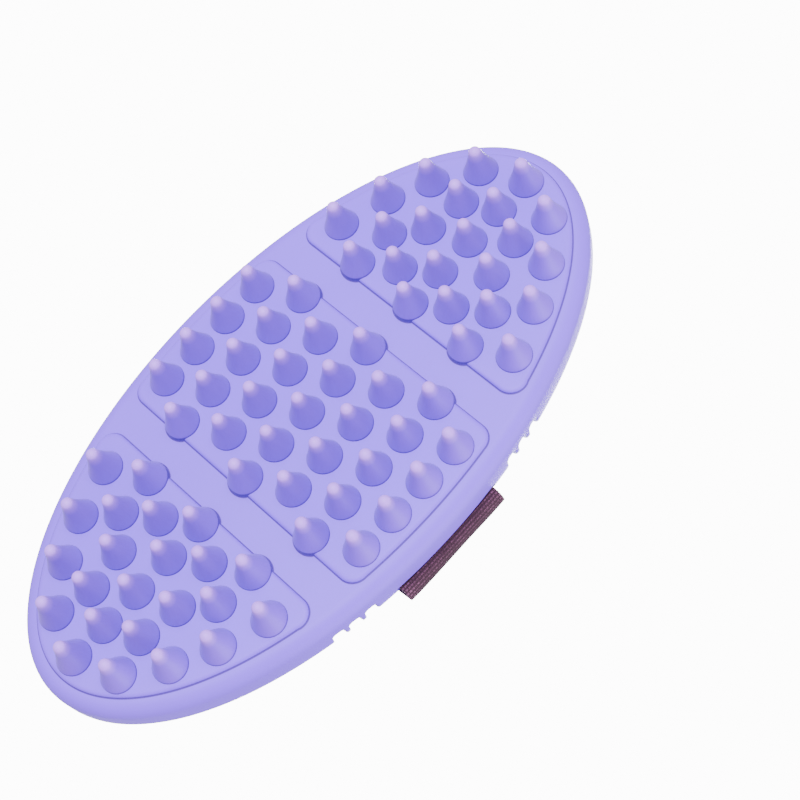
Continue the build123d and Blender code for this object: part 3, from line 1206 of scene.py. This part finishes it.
def weave_bricks(tree, yarn, rib, float_width):
    """Floats of yarn, laid like bricks along each rib."""
    bricks = tree.nodes.new("ShaderNodeTexBrick")
    bricks.offset = 0.5
    # Painted shade: the mortar darkens the gaps between the floats, where shade falls.
    set_inputs(bricks, Scale=1.0, Color1=tint(yarn, 0.8), Color2=tint(yarn, 1.9), Mortar=tint(yarn, 0.12))
    set_inputs(bricks, Mortar_Size=0.2 * rib / MM, Mortar_Smooth=0.8)
    set_inputs(bricks, Brick_Width=float_width / MM, Row_Height=rib / MM)
    return bricks


def sealed_end(tree, scaled, colour, length, end_colour):
    """Darkens the last of the webbing, where it was cut with heat."""
    end = length / MM
    share = share_of(tree, scaled.outputs["Vector"], "Y", end - 0.9, end - 0.5)
    return mixed(tree, share, colour, end_colour)


def thread_material(name, colour):
    """Dark spun thread."""
    material, tree = new_material(name)
    set_inputs(tree.nodes["Principled BSDF"], Roughness=0.6, Base_Color=colour)
    return material


# Stage


def floor_material():
    """Pale floor seen only from above."""
    material, tree = new_material("pale_floor")
    shader = tree.nodes["Principled BSDF"]
    set_inputs(shader, Base_Color=(0.86, 0.86, 0.87, 1), Roughness=0.7)
    side = tree.nodes.new("ShaderNodeNewGeometry")
    clear = tree.nodes.new("ShaderNodeBsdfTransparent")
    mix = tree.nodes.new("ShaderNodeMixShader")
    tree.links.new(side.outputs["Backfacing"], mix.inputs["Fac"])
    tree.links.new(shader.outputs["BSDF"], mix.inputs[1])
    tree.links.new(clear.outputs["BSDF"], mix.inputs[2])
    tree.links.new(mix.outputs["Shader"], tree.nodes["Material Output"].inputs["Surface"])
    return material


def add_floor(settings):
    work = bmesh.new()
    bmesh.ops.create_grid(work, x_segments=1, y_segments=1, size=settings.floor_size / 2)
    bmesh.ops.translate(work, verts=work.verts, vec=(0, 0, -0.05 * MM))
    floor = finish_piece("floor", work, floor_material())
    for ray in ("visible_shadow", "visible_diffuse", "visible_glossy", "visible_transmission"):
        setattr(floor, ray, False)


def add_camera(settings):
    """The camera and its right, up and back directions."""
    a, e = settings.azimuth, settings.elevation
    back = Vector((math.sin(a) * math.cos(e), -math.cos(a) * math.cos(e), math.sin(e)))
    level_right = Vector((math.cos(a), math.sin(a), 0))
    level = Matrix((level_right, back.cross(level_right), back)).transposed()
    turned = level @ Matrix.Rotation(settings.roll, 3, "Z")
    data = bpy.data.cameras.new("camera")
    data.lens = settings.lens
    data.sensor_width = 36
    camera = bpy.data.objects.new("camera", data)
    camera.location = Vector(settings.aim) + back * settings.distance
    camera.rotation_mode = "QUATERNION"
    camera.rotation_quaternion = turned.to_quaternion()
    bpy.context.scene.collection.objects.link(camera)
    bpy.context.scene.camera = camera
    return turned.col[0], turned.col[1], turned.col[2]


def add_softbox(name, toward, size, power):
    """A square area light that shines on the brush from a direction."""
    data = bpy.data.lights.new(name, "AREA")
    data.shape = "SQUARE"
    data.size = size
    data.energy = power
    light = bpy.data.objects.new(name, data)
    light.location = CENTRE + Vector(toward).normalized() * 0.8
    light.rotation_mode = "QUATERNION"
    light.rotation_quaternion = Vector(toward).to_track_quat("Z", "Y")
    bpy.context.scene.collection.objects.link(light)


def add_world(settings):
    """An even white surround that is brighter where the camera sees it directly."""
    world = bpy.data.worlds.new("world")
    world.use_nodes = True
    tree = world.node_tree
    even = tree.nodes["Background"]
    set_inputs(even, Color=(1, 1, 1, 1), Strength=settings.world)
    seen = add(tree, "ShaderNodeBackground", Strength=settings.backdrop)
    path = tree.nodes.new("ShaderNodeLightPath")
    mix = tree.nodes.new("ShaderNodeMixShader")
    tree.links.new(path.outputs["Is Camera Ray"], mix.inputs["Fac"])
    tree.links.new(even.outputs["Background"], mix.inputs[1])
    tree.links.new(seen.outputs["Background"], mix.inputs[2])
    tree.links.new(mix.outputs["Shader"], tree.nodes["World Output"].inputs["Surface"])
    bpy.context.scene.world = world


class BRUSH_OT_stage(bpy.types.Operator):
    """Set up the floor, the lights and the camera"""

    bl_idname = "brush.stage"
    bl_label = "Stage"

    def execute(self, context):
        settings = context.scene.brush_stage
        right, up, back = add_camera(settings)
        add_floor(settings)
        add_softbox("key_light", back * 0.89 + up * 0.46 - right * 0.2, 0.6, settings.key)
        add_softbox("fill_light", back * 0.3 + right * 0.8 - up * 0.55, 0.7, settings.fill)
        add_softbox("top_light", (0.3, -0.35, 1), 0.7, settings.top)
        add_world(settings)
        return {"FINISHED"}


class BRUSH_PT_panel(bpy.types.Panel):
    """Lists the brush's steps"""

    bl_label = "Curry Brush"
    bl_space_type = "VIEW_3D"
    bl_region_type = "UI"
    bl_category = "Curry Brush"

    def draw(self, context):
        for step in OPERATORS:
            self.layout.operator(step.bl_idname)


SETTINGS = {
    "brush_rubber": RubberSettings,
    "brush_cone": ConeSettings,
    "brush_webbing": WebbingSettings,
    "brush_finish": FinishSettings,
    "brush_stage": StageSettings,
}
OPERATORS = (
    BRUSH_OT_stage,
    BRUSH_OT_rubber_body,
    BRUSH_OT_pads,
    BRUSH_OT_cones,
    BRUSH_OT_back_panels,
    BRUSH_OT_loop_webbing,
    BRUSH_OT_top_webbing,
    BRUSH_OT_hook_tape,
    BRUSH_OT_stitching,
)


def register():
    for name, group in SETTINGS.items():
        bpy.utils.register_class(group)
        setattr(bpy.types.Scene, name, bpy.props.PointerProperty(type=group))
    for item in OPERATORS + (BRUSH_PT_panel,):
        bpy.utils.register_class(item)


def unregister():
    for item in reversed(OPERATORS + (BRUSH_PT_panel,)):
        bpy.utils.unregister_class(item)
    for name, group in reversed(SETTINGS.items()):
        delattr(bpy.types.Scene, name)
        bpy.utils.unregister_class(group)


def main():
    register()
    bpy.ops.brush.stage()
    bpy.ops.brush.rubber_body()
    bpy.ops.brush.pads()
    bpy.ops.brush.cones()
    bpy.ops.brush.back_panels()
    bpy.ops.brush.loop_webbing()
    bpy.ops.brush.top_webbing()
    bpy.ops.brush.hook_tape()
    bpy.ops.brush.stitching()


if __name__ == "__main__":
    main()
